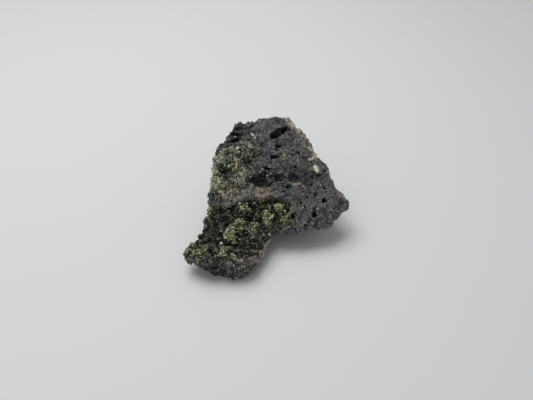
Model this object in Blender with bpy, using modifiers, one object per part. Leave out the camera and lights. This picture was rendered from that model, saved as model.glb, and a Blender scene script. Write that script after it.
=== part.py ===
"""Peridot on basalt: a hand-size piece of dark vesicular lava holding two granular masses of green peridot.

Run it with blender --background --python part.py, or from Blender's text editor. Metres, +Z up.
The stone rests on its broken base at z = 0, with the origin under the middle of its bounding box.
+Y runs from the low front lobe to the high back edge, and +X towards the bare right-hand tip.
"""

import math
import random

import bmesh
import bpy
from mathutils import Euler, Matrix, Vector
from mathutils.bvhtree import BVHTree

MM = 0.001

# ---------------------------------------------------------------- driving dimensions, in millimetres

FACE_SLOPE = 0.56  # rise of the broad broken face, per millimetre towards the back
FACE_HEIGHT = 20.4  # height of that face over the middle of the design grid
POCKET_SLOPE = 0.23  # the same for the top of the peridot in the lower pocket
POCKET_HEIGHT = 17.5
POCKET_DEPTH = 3.6  # thickness of the peridot below its own surface
PATCH_DEPTH = 3.4
SEAT_GAP = 0.3  # clearance between a mineral mass and the lava round it
GRID = 1.0  # voxel size of the rough stone
STONE_TRIANGLES = 2040
# The three scales of its surface: grain size and full height.
STONE_RELIEF = (("broken relief", 11.0, 2.4), ("lumps", 4.5, 1.8), ("grit", 1.9, 0.8))

# Corners of the convex lumps that the stone broke into, as x, y, z.
MAIN_WEDGE = [
    # high back edge, left to right
    (-15.5, 33.0, 37.0), (-5.5, 35.0, 39.0), (4.0, 36.0, 40.5), (12.0, 35.0, 41.0),
    # bevelled right-hand ridge, back to front
    (15.5, 30.0, 38.0), (19.5, 31.5, 31.0), (22.0, 25.5, 32.5), (25.0, 17.5, 30.3),
    (28.5, 11.5, 27.5), (32.0, 4.5, 24.0),
    # left shoulder, back to front
    (-18.6, 27.0, 34.5), (-22.5, 22.0, 32.0), (-25.0, 16.5, 30.0), (-26.0, 7.0, 25.0),
    (-26.3, 0.0, 21.0), (-26.2, -5.5, 17.4),
    # crown of the face and its front edge
    (6.0, 12.0, 27.5), (25.0, -9.0, 15.5), (7.0, -14.5, 12.5), (0.0, -14.0, 11.0),
    # back wall and foot
    (-2.0, 38.0, 17.0), (-19.0, 31.0, 14.0), (18.0, 33.0, 16.0), (27.0, 16.0, 9.0),
    (-20.0, 29.0, -1.5), (12.0, 32.0, -1.5), (21.0, 17.0, -1.5), (14.0, 1.0, -1.5),
    (-2.0, -5.0, -1.5), (-22.0, -7.0, -1.5), (-23.5, 14.0, -1.5), (-25.0, 8.0, 11.0),
]
RIGHT_LOBE = [
    (35.0, 2.5, 22.3), (38.2, -3.3, 18.0), (35.2, -6.6, 15.4), (30.8, -9.6, 13.2),
    (27.5, -12.3, 12.2), (21.0, -14.0, 12.0), (15.0, -15.6, 12.0), (6.5, -16.0, 11.8),
    (30.0, 6.0, 24.0), (18.0, 4.0, 23.5), (5.0, -6.0, 17.5), (32.0, 2.0, 12.0),
    (24.0, 6.0, 4.0), (12.0, -4.0, 4.0), (4.0, -9.0, 4.0),
]
FRONT_LOBE = [
    # upper rim, from the left shoulder round the tip to the right-hand wall
    (-25.2, -6.6, 15.4), (-25.0, -12.0, 14.0), (-27.8, -17.5, 13.2), (-32.2, -22.5, 12.0),
    (-36.4, -25.5, 9.6), (-30.0, -30.5, 10.8), (-19.5, -32.4, 10.8), (-11.5, -33.8, 10.3),
    (-6.0, -31.0, 10.2), (-2.8, -24.5, 11.3), (1.6, -17.8, 12.3), (4.0, -12.0, 13.0),
    # lower rim
    (-35.4, -26.4, 7.2), (-30.0, -27.6, 4.6), (-24.5, -30.0, 2.0), (-20.4, -32.0, 0.6),
    (-13.2, -31.6, -0.8), (-8.0, -29.2, -0.8), (-4.0, -25.8, 1.8), (-1.3, -21.8, 5.0),
    (0.8, -18.4, 7.0), (-26.0, -20.0, -1.5), (-8.0, -15.0, -1.5), (-22.0, -8.0, -1.5),
]

# Outlines of the two peridot masses, seen from above, clockwise from the upper left.
POCKET_OUTLINE = [
    (-32.0, -4.0), (-24.8, -4.1), (-20.6, -4.1), (-16.0, -3.2), (-12.3, -2.2), (-9.1, -0.9),
    (-6.7, -0.5), (-2.0, -0.6), (2.6, -0.5), (7.7, -1.2), (11.2, -2.6), (12.1, -4.8),
    (10.4, -8.6), (9.0, -11.0), (6.2, -14.2), (2.6, -18.0), (-0.2, -21.0), (-3.0, -25.0),
    (-5.2, -28.0), (-8.4, -29.9), (-12.6, -30.6), (-20.6, -30.0), (-27.2, -29.4), (-32.4, -28.0),
    (-33.0, -24.2), (-32.0, -14.0),
]
PATCH_OUTLINE = [
    (-30.0, 18.5), (-22.2, 20.4), (-17.0, 22.2), (-13.6, 23.8), (-8.8, 25.2), (-6.2, 24.2),
    (-4.4, 21.6), (-4.6, 18.6), (-6.4, 15.0), (-8.0, 12.0), (-9.0, 8.4), (-10.4, 5.4),
    (-12.4, 2.0), (-15.2, -0.8), (-18.0, -2.2), (-19.8, -1.8), (-21.6, 0.4), (-24.0, 2.0),
    (-31.0, 3.0), (-31.0, 12.0),
]

# Gas cavities in the broad face: x, y of the mouth, half-length, half-width, depth and turn in degrees.
FACE_CAVITIES = [
    (4.6, 26.8, 3.2, 2.1, 4.6, 8), (8.4, 28.9, 3.0, 1.5, 4.0, 46), (5.5, 21.9, 1.9, 1.2, 2.6, 8),
    (5.0, 19.4, 1.3, 0.8, 1.4, 0), (4.0, 16.3, 2.6, 1.0, 2.6, -5), (-14.0, 28.3, 3.3, 1.4, 3.4, -16),
    (-14.7, 24.6, 3.3, 1.1, 2.8, 17),
    (21.9, -7.0, 1.4, 1.9, 3.0, 0), (26.7, -1.7, 1.2, 1.3, 2.2, 0), (13.0, -8.6, 1.3, 1.5, 2.4, 0),
    (17.6, -12.0, 0.8, 0.9, 1.4, 0), (13.5, 12.6, 0.8, 0.7, 1.2, 0), (8.2, 1.2, 1.3, 0.8, 1.2, 15),
    (22.6, -0.5, 0.9, 0.8, 1.2, 0), (27.1, 9.6, 0.9, 1.0, 1.4, 0), (2.6, 24.3, 0.9, 0.7, 1.0, 0),
]

# Cavities with level floors, under an overhanging lip or through an edge: centre and the three half-sizes.
LEVEL_CAVITIES = [
    ((-2.0, 2.2, 23.4), (5.6, 5.0, 3.7)), ((-1.4, 7.4, 22.8), (7.4, 4.2, 3.6)),
    ((12.4, 8.2, 24.0), (3.1, 3.0, 2.8)),
    ((-8.2, 5.6, 24.0), (3.0, 3.2, 2.0)), ((6.2, 7.8, 25.4), (2.6, 2.4, 1.8)),
    ((12.6, -15.6, 10.8), (2.9, 2.6, 2.2)), ((6.0, -15.6, 9.6), (3.0, 2.8, 2.4)),
    ((-19.5, -33.8, 7.6), (5.2, 1.8, 1.5)), ((-27.5, -31.0, 8.0), (2.2, 1.4, 1.0)),
    ((25.5, 29.5, 17.0), (3.4, 3.0, 2.4)), ((-8.0, 38.5, 22.0), (4.0, 2.4, 2.8)),
    ((-27.0, 12.0, 17.0), (2.0, 3.4, 2.6)),
]
OPEN_CAVES = 3  # the first of these, cut rounder than the rest
# Shallow scars where flakes broke off the back, the sides and the front: centre and half-sizes of the scoop.
SCARS = [
    ((7.0, 46.5, 19.0), (13.0, 11.0, 10.0)), ((-15.0, 42.0, 7.0), (10.0, 12.0, 9.0)),
    ((37.0, 22.0, 13.0), (11.0, 10.0, 9.0)), ((-36.0, 6.0, 6.0), (12.5, 12.0, 8.0)),
    ((-30.0, 27.0, 19.0), (9.0, 7.0, 9.0)), ((27.0, 1.0, 2.0), (12.0, 12.0, 6.5)),
]
OTHER_CAVITIES = 10  # small ones over the back and sides
OTHER_RADII = (0.9, 2.3)
OTHER_HEADINGS = (-25, 205)  # degrees round from +X, and degrees above level, in which they lie
OTHER_RISES = (-12, 30)
STONE_MIDDLE = (0, 6, 17)
CAVITY_SPACING = 1.2  # least lava between two of them
LOWEST_CAVITY = 4.0
FINE_CAVITY = 2.4  # cavities smaller than this are cut with the coarser ball
CAVITY_LIFT = 0.15  # a cavity's middle stands this share of its depth out of the face

# Clumps of taller crystals: x, y and radius of the clump, and how far it rises.
POCKET_CLUMPS = [
    (0.7, -7.6, 2.8, 1.2), (5.6, -4.2, 2.4, 1.0), (9.4, -4.6, 1.8, 0.8), (8.2, -9.2, 1.8, 0.6),
    (-12.2, -11.0, 2.7, 1.2), (-15.9, -16.1, 3.2, 1.5), (-10.7, -4.8, 2.0, 0.8), (-25.8, -6.2, 2.6, 1.1),
    (-27.0, -24.6, 2.6, 0.9), (-30.6, -27.0, 2.0, 0.6), (-17.1, -25.2, 2.6, 0.8), (-20.8, -28.6, 2.2, 0.6),
    (-14.7, -29.0, 2.4, 0.7), (-10.5, -20.0, 2.2, 0.6), (-5.7, -12.8, 2.4, 0.5), (-7.3, -25.6, 2.4, 0.6),
    (-20.4, -15.6, 2.2, 0.5),
]
PATCH_CLUMPS = [
    (-8.4, 21.4, 3.0, 1.2), (-6.6, 18.6, 2.0, 0.9), (-16.6, 19.0, 2.6, 0.6), (-22.6, 14.2, 2.4, 0.5),
    (-11.0, 10.2, 2.2, 0.5), (-22.4, 5.2, 2.6, 0.6), (-15.6, 2.6, 2.2, 0.5), (-13.2, 13.6, 2.0, 0.5),
]
# Hollows in the upper mass: x, y of the mouth, half-length, half-width, depth and turn in degrees.
PATCH_HOLLOWS = [
    (-19.4, 10.4, 3.8, 2.0, 2.6, 6), (-8.0, 15.6, 2.6, 0.9, 1.8, 8), (-14.6, 16.2, 1.6, 0.9, 1.4, -15),
]
CLUMP_CRYSTALS = 4
CROWDING = 0.7  # crystals may overlap until their middles are this share of their radii apart
CRYSTAL_LEAN = 55  # most that a crystal leans from upright, in degrees
STEEPEST = 0.3  # least upward part of the bed's normal where a crystal stands
POCKET_CRYSTALS = (52, 1.2, 2.1)  # how many stand loose between clumps, and their least and greatest radius
PATCH_CRYSTALS = (26, 1.1, 1.9)
SEARCHES = 4000  # places tried for the loose crystals, of which the crowded ones are passed over

CREAM_GRAIN = (23.4, 10.3, (1.45, 2.4, 1.3))  # x and y of its middle, and its three half-sizes
CREAM_TURN = 24  # degrees that its long side leans to the left
ROOM_HEIGHT = 9.0  # how far above its bed a mass may rise
SEAT_TOP = 30.0  # how far above a mass the lava is cleared away
TABLE = (200.0, 200.0, 100.0)  # block under z = 0 that levels the foot

# Colour and roughness of each material.
LAVA_FINISH = ((0.055, 0.052, 0.052), 0.88)
PERIDOT_FINISH = ((0.20, 0.30, 0.04), 0.28)
WEATHERED_FINISH = ((0.20, 0.22, 0.09), 0.55)
CREAM_FINISH = ((0.72, 0.62, 0.42), 0.5)

# ---------------------------------------------------------------- helpers

def collection(name):
    made = bpy.data.collections.new(name)
    bpy.context.scene.collection.children.link(made)
    return made


def helper(obj):
    """Marks a cutter or a guide, which is no piece of the stone."""
    obj.hide_render = True
    obj.display_type = "WIRE"
    return obj


def frozen(obj, name, home):
    """A plain mesh object holding what obj's modifiers make of it; obj itself is removed."""
    graph = bpy.context.evaluated_depsgraph_get()
    mesh = bpy.data.meshes.new_from_object(obj.evaluated_get(graph))
    mesh.transform(obj.matrix_world)
    bpy.data.objects.remove(obj)
    made = bpy.data.objects.new(name, mesh)
    home.objects.link(made)
    return made


def hull_into(bm, corners):
    """Adds the convex lump with these corners, given in millimetres, to a bmesh."""
    points = [bm.verts.new(Vector(corner) * MM) for corner in corners]
    made = bmesh.ops.convex_hull(bm, input=points)
    loose = {v for v in made["geom_interior"] + made["geom_unused"] if isinstance(v, bmesh.types.BMVert)}
    bmesh.ops.delete(bm, geom=list(loose), context="VERTS")


def object_from(bm, name, home):
    bmesh.ops.recalc_face_normals(bm, faces=bm.faces)
    mesh = bpy.data.meshes.new(name)
    bm.to_mesh(mesh)
    bm.free()
    made = bpy.data.objects.new(name, mesh)
    home.objects.link(made)
    return made


def boolean(obj, operation, other):
    """Adds a Boolean modifier against an object, or against all the objects of a collection."""
    modifier = obj.modifiers.new(operation.lower(), "BOOLEAN")
    modifier.operation = operation
    if isinstance(other, bpy.types.Collection):
        modifier.operand_type = "COLLECTION"
        modifier.collection = other
    else:
        modifier.object = other
    return modifier


def one_body(obj, name, home):
    """Freezes a cut piece and drops the loose chips that its cuts leave beside the main body."""
    whole = frozen(obj, name, home)
    bm = bmesh.new()
    bm.from_mesh(whole.data)
    unseen = set(bm.faces)
    bodies = []
    while unseen:
        body, front = [], [unseen.pop()]
        while front:
            face = front.pop()
            body.append(face)
            joints = [edge for edge in face.edges if len(edge.link_faces) == 2]
            near = {other for edge in joints for other in edge.link_faces} & unseen
            unseen -= near
            front.extend(near)
        bodies.append(body)
    bodies.sort(key=len)
    bmesh.ops.delete(bm, geom=[face for body in bodies[:-1] for face in body], context="FACES")
    bm.to_mesh(whole.data)
    bm.free()
    return whole


def roughen(obj, name, grain, height):
    """Displaces a surface by cloud noise of a given grain size and full height, in millimetres."""
    texture = bpy.data.textures.new(name, "CLOUDS")
    texture.noise_scale = grain * MM
    texture.noise_depth = 1
    modifier = obj.modifiers.new(name, "DISPLACE")
    modifier.texture = texture
    modifier.strength = height * MM
    modifier.mid_level = 0.5


def sheared_slab(name, outline, slope, height, bottom, top, home):
    """A flat outline made into a slab whose floor and top rise with the given slope towards the back."""
    curve = bpy.data.curves.new(name, "CURVE")
    curve.dimensions = "2D"
    curve.fill_mode = "BOTH"
    curve.extrude = (top - bottom) / 2 * MM
    spline = curve.splines.new("POLY")
    spline.points.add(len(outline) - 1)
    for point, (x, y) in zip(spline.points, outline):
        point.co = (x * MM, y * MM, 0, 1)
    spline.use_cyclic_u = True
    flat = bpy.data.objects.new(name, curve)
    home.objects.link(flat)
    slab = frozen(flat, name, home)
    bm = bmesh.new()
    bm.from_mesh(slab.data)
    bmesh.ops.remove_doubles(bm, verts=bm.verts, dist=0.0001 * MM)
    for vert in bm.verts:
        vert.co.z += (height + (bottom + top) / 2) * MM + slope * vert.co.y
    bmesh.ops.recalc_face_normals(bm, faces=bm.faces)
    bm.to_mesh(slab.data)
    bm.free()
    return helper(slab)


def inset(outline, distance):
    """The outline moved inwards by a distance, with its corners mitred."""
    area = sum(a[0] * b[1] - b[0] * a[1] for a, b in zip(outline, outline[1:] + outline[:1]))
    side = math.copysign(distance, area)
    moved = []
    for before, here, after in zip(outline[-1:] + outline[:-1], outline, outline[1:] + outline[:1]):
        first = (Vector(here) - Vector(before)).normalized()
        second = (Vector(after) - Vector(here)).normalized()
        normal = Vector((-first.y - second.y, first.x + second.x)).normalized()
        reach = side / max(0.5, normal.dot(Vector((-first.y, first.x))))
        moved.append((here[0] + normal.x * reach, here[1] + normal.y * reach))
    return moved


def stubby_crystal(name, radius, place, turn, home, chance):
    """One crystal: a short tapered prism with four to six sides, flat at both ends."""
    bm = bmesh.new()
    taper = chance.uniform(0.45, 0.8)
    height = chance.uniform(1.2, 1.7) * radius * MM
    bmesh.ops.create_cone(bm, cap_ends=True, cap_tris=False, segments=chance.choice((4, 4, 5, 6)),
                          radius1=radius * MM, radius2=radius * taper * MM, depth=height)
    stretch = Matrix.Diagonal((1.0, chance.uniform(0.7, 1.0), 1.0, 1.0))
    stand = Matrix.Translation(place) @ turn.to_matrix().to_4x4()
    bmesh.ops.transform(bm, matrix=stand @ stretch, verts=bm.verts)
    return helper(object_from(bm, name, home))


# ---------------------------------------------------------------- the rough stone

def make_rough_stone(home):
    """The outer form of the whole piece: convex lumps run together, then weathered at three scales."""
    bm = bmesh.new()
    for corners in (MAIN_WEDGE, RIGHT_LOBE, FRONT_LOBE):
        hull_into(bm, corners)
    stone = object_from(bm, "rough_stone", home)
    remesh = stone.modifiers.new("run together", "REMESH")
    remesh.mode = "VOXEL"
    remesh.voxel_size = GRID * MM
    smooth = stone.modifiers.new("worn edges", "SMOOTH")
    smooth.factor = 0.5
    smooth.iterations = 2
    for name, grain, height in STONE_RELIEF:
        roughen(stone, name, grain, height)
    stone = frozen(stone, "rough_stone", home)
    thin = stone.modifiers.new("fewer faces", "DECIMATE")
    thin.ratio = STONE_TRIANGLES / (2 * len(stone.data.polygons))
    return helper(frozen(stone, "rough_stone", home))


def surface_finder(obj):
    """A function that drops a plumb line on the object at x, y in millimetres: the point and normal met."""
    tree = BVHTree.FromObject(obj, bpy.context.evaluated_depsgraph_get())

    def find(x, y):
        point, normal, _, _ = tree.ray_cast(Vector((x, y, 100)) * MM, Vector((0, 0, -1)))
        return point, normal
    return find


def ellipsoid(name, place, half_sizes, turn, subdivisions, home):
    bm = bmesh.new()
    bmesh.ops.create_icosphere(bm, subdivisions=subdivisions, radius=MM)
    size = Matrix.Diagonal((*half_sizes, 1))
    stand = Matrix.Translation(place) @ turn.to_matrix().to_4x4()
    bmesh.ops.transform(bm, matrix=stand @ size, verts=bm.verts)
    return helper(object_from(bm, name, home))


def on_the_face(degrees):
    """The turn that lays a hollow or a grain in the broad face, after a spin about the face's own normal."""
    upright = Vector((0, -FACE_SLOPE, 1)).normalized()
    return Vector((0, 0, 1)).rotation_difference(upright) @ Euler((0, 0, math.radians(degrees))).to_quaternion()


def facing(normal, degrees=0.0):
    """The turn that stands local +Z on a surface normal, after a spin about it."""
    return normal.to_track_quat("Z", "Y") @ Euler((0, 0, math.radians(degrees))).to_quaternion()


# ---------------------------------------------------------------- gas cavities

def cut_face_cavities(find, cavities, name, home):
    """Hollows sunk in a surface seen from above, each leaning with the face."""
    for number, (x, y, length, width, depth, spin) in enumerate(cavities):
        point, normal = find(x, y)
        turn = on_the_face(spin)
        place = point + turn @ Vector((0, 0, depth * CAVITY_LIFT * MM))
        rounds = 2 if max(length, width) > FINE_CAVITY else 1
        ellipsoid(f"{name}_{number:02d}", place, (length, width, depth), turn, rounds, home)


def cut_other_cavities(rough, home):
    """Small round vesicles scattered over the back, the sides and the underside's edge."""
    chance = random.Random(11)
    tree = BVHTree.FromObject(rough, bpy.context.evaluated_depsgraph_get())
    middle = Vector(STONE_MIDDLE) * MM
    made = []
    while len(made) < OTHER_CAVITIES:
        heading = math.radians(chance.uniform(*OTHER_HEADINGS))
        rise = math.radians(chance.uniform(*OTHER_RISES))
        away = Matrix.Rotation(heading, 3, "Z") @ Vector((math.cos(rise), 0, math.sin(rise)))
        point, normal, _, _ = tree.ray_cast(middle + away * 90 * MM, -away)
        radius = chance.uniform(*OTHER_RADII)
        clear = all((point - other).length > (radius + size + CAVITY_SPACING) * MM for other, size in made)
        if point.z < LOWEST_CAVITY * MM or not clear:
            continue
        made.append((point, radius))
        halves = (radius, radius * chance.uniform(0.6, 1.0), radius * 1.2)
        name = f"side_cavity_{len(made):02d}"
        ellipsoid(name, point, halves, facing(normal, chance.uniform(0, 180)), 1, home)


# ---------------------------------------------------------------- peridot masses

def grow_peridot(name, rough, outline, slope, height, depth, clumps, loose, hollows, seed):
    """A granular mass: a bed shaped by the stone and its own seat, with crystals fused over its open face."""
    chance = random.Random(seed)
    bed_outline = inset(outline, SEAT_GAP)
    bed = sheared_slab(name + "_bed", bed_outline, slope, height, -depth, 0.0, cutters)
    boolean(bed, "INTERSECT", rough)
    bed = helper(frozen(bed, name + "_bed", cutters))
    find = surface_finder(bed)
    crystals = collection(name + "_crystals")
    made = []

    def grow(x, y, radius, rise):
        point, normal = find(x, y)
        if point is None or normal.z < STEEPEST:
            return
        centre = point + normal * rise * MM
        if any((centre - other).length < CROWDING * (radius + size) * MM for other, size in made):
            return
        leans = [math.radians(chance.uniform(-CRYSTAL_LEAN, CRYSTAL_LEAN)) for _ in range(2)]
        lean = Euler((*leans, 0))
        turn = facing(normal, chance.uniform(0, 360)) @ lean.to_quaternion()
        stubby_crystal(f"{name}_crystal_{len(made):03d}", radius, centre, turn, crystals, chance)
        made.append((centre, radius))

    for x, y, size, rise in clumps:
        grow(x, y, 0.62 * size, rise)
        for number in range(1, CLUMP_CRYSTALS):
            angle = number / (CLUMP_CRYSTALS - 1) * math.tau + chance.uniform(-0.4, 0.4)
            reach = size * chance.uniform(0.75, 0.95)
            radius = size * chance.uniform(0.45, 0.6)
            grow(x + reach * math.cos(angle), y + reach * math.sin(angle), radius, rise * 0.6)
    count, smallest, largest = loose
    goal = len(made) + count
    x_range, y_range = ((min(axis), max(axis)) for axis in zip(*outline))
    for _ in range(SEARCHES):
        if len(made) < goal:
            grow(chance.uniform(*x_range), chance.uniform(*y_range), chance.uniform(smallest, largest), 0.0)

    mass = bpy.data.objects.new(name, bed.data.copy())
    pieces.objects.link(mass)
    boolean(mass, "UNION", crystals)
    if hollows:
        boolean(mass, "DIFFERENCE", hollows)
    room = sheared_slab(name + "_room", bed_outline, slope, height, -depth, ROOM_HEIGHT, cutters)
    boolean(mass, "INTERSECT", room)
    return one_body(mass, name, pieces)


# ---------------------------------------------------------------- materials and placing

def finish(obj, colour, roughness):
    """Gives a piece its own plain Principled material."""
    material = bpy.data.materials.new(obj.name)
    material.use_nodes = True
    shader = material.node_tree.nodes["Principled BSDF"]
    shader.inputs["Base Color"].default_value = (*colour, 1.0)
    shader.inputs["Roughness"].default_value = roughness
    shader.inputs["Metallic"].default_value = 0.0
    obj.data.materials.clear()
    obj.data.materials.append(material)


def stand_on_origin(objects):
    """Shifts all the pieces together, so that the origin is under the middle of their common box."""
    points = [vert.co for obj in objects for vert in obj.data.vertices]
    low = Vector([min(point[axis] for point in points) for axis in range(3)])
    high = Vector([max(point[axis] for point in points) for axis in range(3)])
    shift = Vector((-(low.x + high.x) / 2, -(low.y + high.y) / 2, -low.z))
    for obj in objects:
        obj.data.transform(Matrix.Translation(shift))
    print("moved by", [round(value / MM, 3) for value in shift], "mm")


# ---------------------------------------------------------------- scene

for old in list(bpy.data.objects):
    bpy.data.objects.remove(old)

pieces = collection("peridot_on_basalt")
cutters = collection("cutters")

rough = make_rough_stone(cutters)
find_stone = surface_finder(rough)

# the peridot in the lower pocket, and the upper patch with its own hollows
nodule = grow_peridot("peridot_nodule", rough, POCKET_OUTLINE, POCKET_SLOPE, POCKET_HEIGHT, POCKET_DEPTH,
                      POCKET_CLUMPS, POCKET_CRYSTALS, None, 3)
hollows = collection("patch_hollows")
cut_face_cavities(find_stone, PATCH_HOLLOWS, "patch_hollow", hollows)
patch = grow_peridot("peridot_patch", rough, PATCH_OUTLINE, FACE_SLOPE, FACE_HEIGHT, PATCH_DEPTH,
                     PATCH_CLUMPS, PATCH_CRYSTALS, hollows, 5)

# one pale grain frozen into the right-hand ridge
x, y, halves = CREAM_GRAIN
point, normal = find_stone(x, y)
cream = ellipsoid("cream_grain", point, halves, on_the_face(CREAM_TURN), 2, pieces)
cream.hide_render = False
cream.display_type = "TEXTURED"

# the lava: the rough stone less its seats and cavities, broken off level at the foot
cavities = collection("cavities")
cut_face_cavities(find_stone, FACE_CAVITIES, "face_cavity", cavities)
cut_other_cavities(rough, cavities)
for number, (centre, halves) in enumerate(LEVEL_CAVITIES):
    rounds = 2 if number < OPEN_CAVES else 1
    place = Vector(centre) * MM
    ellipsoid(f"level_cavity_{number}", place, halves, Euler().to_quaternion(), rounds, cavities)
for number, (centre, halves) in enumerate(SCARS):
    ellipsoid(f"scar_{number}", Vector(centre) * MM, halves, Euler().to_quaternion(), 2, cavities)
grain_seat = [size + SEAT_GAP for size in CREAM_GRAIN[2]]
ellipsoid("cream_seat", point, grain_seat, on_the_face(CREAM_TURN), 2, cavities)

basalt = bpy.data.objects.new("basalt_matrix", rough.data.copy())
pieces.objects.link(basalt)
for name, outline, slope, height, depth in (
    ("pocket_seat", POCKET_OUTLINE, POCKET_SLOPE, POCKET_HEIGHT, POCKET_DEPTH),
    ("patch_seat", PATCH_OUTLINE, FACE_SLOPE, FACE_HEIGHT, PATCH_DEPTH),
):
    seat = sheared_slab(name, outline, slope, height, -depth - SEAT_GAP, SEAT_TOP, cutters)
    boolean(basalt, "DIFFERENCE", seat)
boolean(basalt, "DIFFERENCE", cavities)
bm = bmesh.new()
bmesh.ops.create_cube(bm, size=1.0)
below = Matrix.Translation((0, 0, -TABLE[2] / 2 * MM))
table_size = Matrix.Diagonal((*(size * MM for size in TABLE), 1))
bmesh.ops.transform(bm, matrix=below @ table_size, verts=bm.verts)
boolean(basalt, "DIFFERENCE", helper(object_from(bm, "table", cutters)))
basalt = one_body(basalt, "basalt_matrix", pieces)

finish(basalt, *LAVA_FINISH)
finish(nodule, *PERIDOT_FINISH)
finish(patch, *WEATHERED_FINISH)
finish(cream, *CREAM_FINISH)
stand_on_origin([basalt, nodule, patch, cream])
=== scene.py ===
import itertools
import math
import random

import bpy
import numpy as np
from mathutils import Euler, Matrix, Vector, noise
from mathutils.bvhtree import BVHTree
from mathutils.kdtree import KDTree


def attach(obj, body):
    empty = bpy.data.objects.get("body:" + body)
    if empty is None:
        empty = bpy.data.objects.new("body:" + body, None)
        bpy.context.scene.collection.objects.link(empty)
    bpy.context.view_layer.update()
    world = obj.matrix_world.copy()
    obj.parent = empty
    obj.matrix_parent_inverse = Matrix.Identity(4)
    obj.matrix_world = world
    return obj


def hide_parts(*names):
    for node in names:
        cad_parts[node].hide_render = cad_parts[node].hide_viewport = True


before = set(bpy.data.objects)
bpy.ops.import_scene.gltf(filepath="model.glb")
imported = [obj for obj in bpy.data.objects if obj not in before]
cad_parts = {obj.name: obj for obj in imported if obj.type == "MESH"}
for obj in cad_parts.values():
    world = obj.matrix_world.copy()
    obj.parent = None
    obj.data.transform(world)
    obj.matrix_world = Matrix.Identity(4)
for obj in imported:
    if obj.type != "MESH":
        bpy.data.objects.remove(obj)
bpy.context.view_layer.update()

# ---------------------------------------------------------------- basalt
# The lava is one dark, gas-pitted stone, broken on every side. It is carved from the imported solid: remeshed
# finely, its broken faces roughened at several scales, then pitted by thousands of gas bubbles. Its foot stays level.

MM = 0.001
SHIFT = np.array((-0.77, -2.76, 0.0))  # from the layout grid, on which places are given in mm, to the frame


def copy_of(node, name):
    """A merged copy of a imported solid, selected and active, ready to be worked on."""
    bpy.ops.object.select_all(action="DESELECT")
    piece = bpy.data.objects.new(name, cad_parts[node].data.copy())
    bpy.context.scene.collection.objects.link(piece)
    piece.select_set(True)
    bpy.context.view_layer.objects.active = piece
    bpy.ops.object.mode_set(mode="EDIT")
    bpy.ops.mesh.select_all(action="SELECT")
    bpy.ops.mesh.remove_doubles(threshold=0.001 * MM)
    bpy.ops.mesh.select_all(action="DESELECT")
    bpy.ops.object.mode_set(mode="OBJECT")
    piece.data.materials.clear()
    return piece


def applied(piece, kind, **settings):
    """Adds a modifier with these settings and applies it."""
    modifier = piece.modifiers.new(kind.lower(), kind)
    for name, value in settings.items():
        setattr(modifier, name, value)
    bpy.context.view_layer.objects.active = piece
    bpy.ops.object.modifier_apply(modifier=modifier.name)


def relief(name, size, **settings):
    """A procedural relief with features of this size."""
    texture = bpy.data.textures.new(name, "CLOUDS")
    texture.noise_scale = size
    for key, value in settings.items():
        setattr(texture, key, value)
    return texture


def vectors(items, key):
    """A vector of each item, such as a vertex's place, as the rows of an array."""
    found = np.empty(len(items) * 3, np.float32)
    items.foreach_get(key, found)
    return found.reshape(-1, 3).astype(float)


def place(piece, points):
    """Moves a piece's vertices to these points."""
    piece.data.vertices.foreach_set("co", np.asarray(points, np.float32).ravel())
    piece.data.update()


def store(piece, name, values):
    """Keeps one number a vertex, which the piece's material reads."""
    attribute = piece.data.attributes.new(name, "FLOAT", "POINT")
    attribute.data.foreach_set("value", np.asarray(values, np.float32))


def near(points, centre, halves):
    """1 at the centre of an ellipsoid given on the layout grid, in mm, falling to 0 at its surface."""
    apart = (points / MM - SHIFT - np.array(centre)) / np.array(halves)
    return np.clip(1 - np.sqrt((apart ** 2).sum(axis=1)), 0, 1)


def near_any(points, spots):
    """The highest of near() over several ellipsoids."""
    return np.max([near(points, *spot) for spot in spots], axis=0)


def tree_of(points):
    """A search tree of these points."""
    tree = KDTree(len(points))
    for index, point in enumerate(points):
        tree.insert(point, index)
    tree.balance()
    return tree


def bubbled(points, count, least, most, chance):
    """Depths of many hollows, small ones the commonest and none quite round, at the points of a skin."""
    tree = tree_of(points)
    depths = np.zeros(len(points))
    for index in chance.integers(len(points), size=count):
        radius = least + (most - least) * chance.random() ** 8
        steep = chance.uniform(0.9, 1.6)
        narrow = Vector(chance.normal(size=3)).normalized()
        squeeze = chance.uniform(0, 0.9)
        for spot, other, _ in tree.find_range(points[index], radius):
            apart = spot - Vector(points[index])
            apart += narrow * apart.dot(narrow) * squeeze
            share = min(1, apart.length / radius)
            depths[other] = max(depths[other], steep * radius * math.sqrt(1 - share ** 2))
    return depths


def shards(points, size, chance):
    """Steps and tilts of a skin that broke along flat faces of this size: one random plane for each cell of space."""
    grid = points / size
    grid -= np.floor(grid.min(axis=0)) - 1
    cell = np.floor(grid).astype(int)
    extent = tuple(cell.max(axis=0) + 2)
    seeds = chance.random((*extent, 3))
    lifts = chance.uniform(-0.5, 0.5, extent)
    tilts = chance.normal(scale=0.6, size=(*extent, 3))
    closest = np.full(len(points), np.inf)
    heights = np.zeros(len(points))
    for step in itertools.product((-1, 0, 1), repeat=3):
        key = tuple((cell + np.array(step)).T)
        apart = grid - cell - step - seeds[key]
        distance = (apart ** 2).sum(axis=1)
        closer = distance < closest
        closest[closer] = distance[closer]
        heights[closer] = (lifts[key] + (apart * tilts[key]).sum(axis=1))[closer]
    return heights * size


def along(points, line, reach):
    """1 on a line through points of the layout grid, falling to 0 at this distance in mm from it."""
    grid = points / MM - SHIFT
    apart = np.full(len(points), np.inf)
    for start, end in zip(line, line[1:]):
        start, step = np.array(start), np.array(end) - np.array(start)
        share = np.clip((grid - start) @ step / (step @ step), 0, 1)
        apart = np.minimum(apart, np.linalg.norm(grid - start - share[:, None] * step, axis=1))
    return np.clip(1 - apart / reach, 0, 1)


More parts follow.
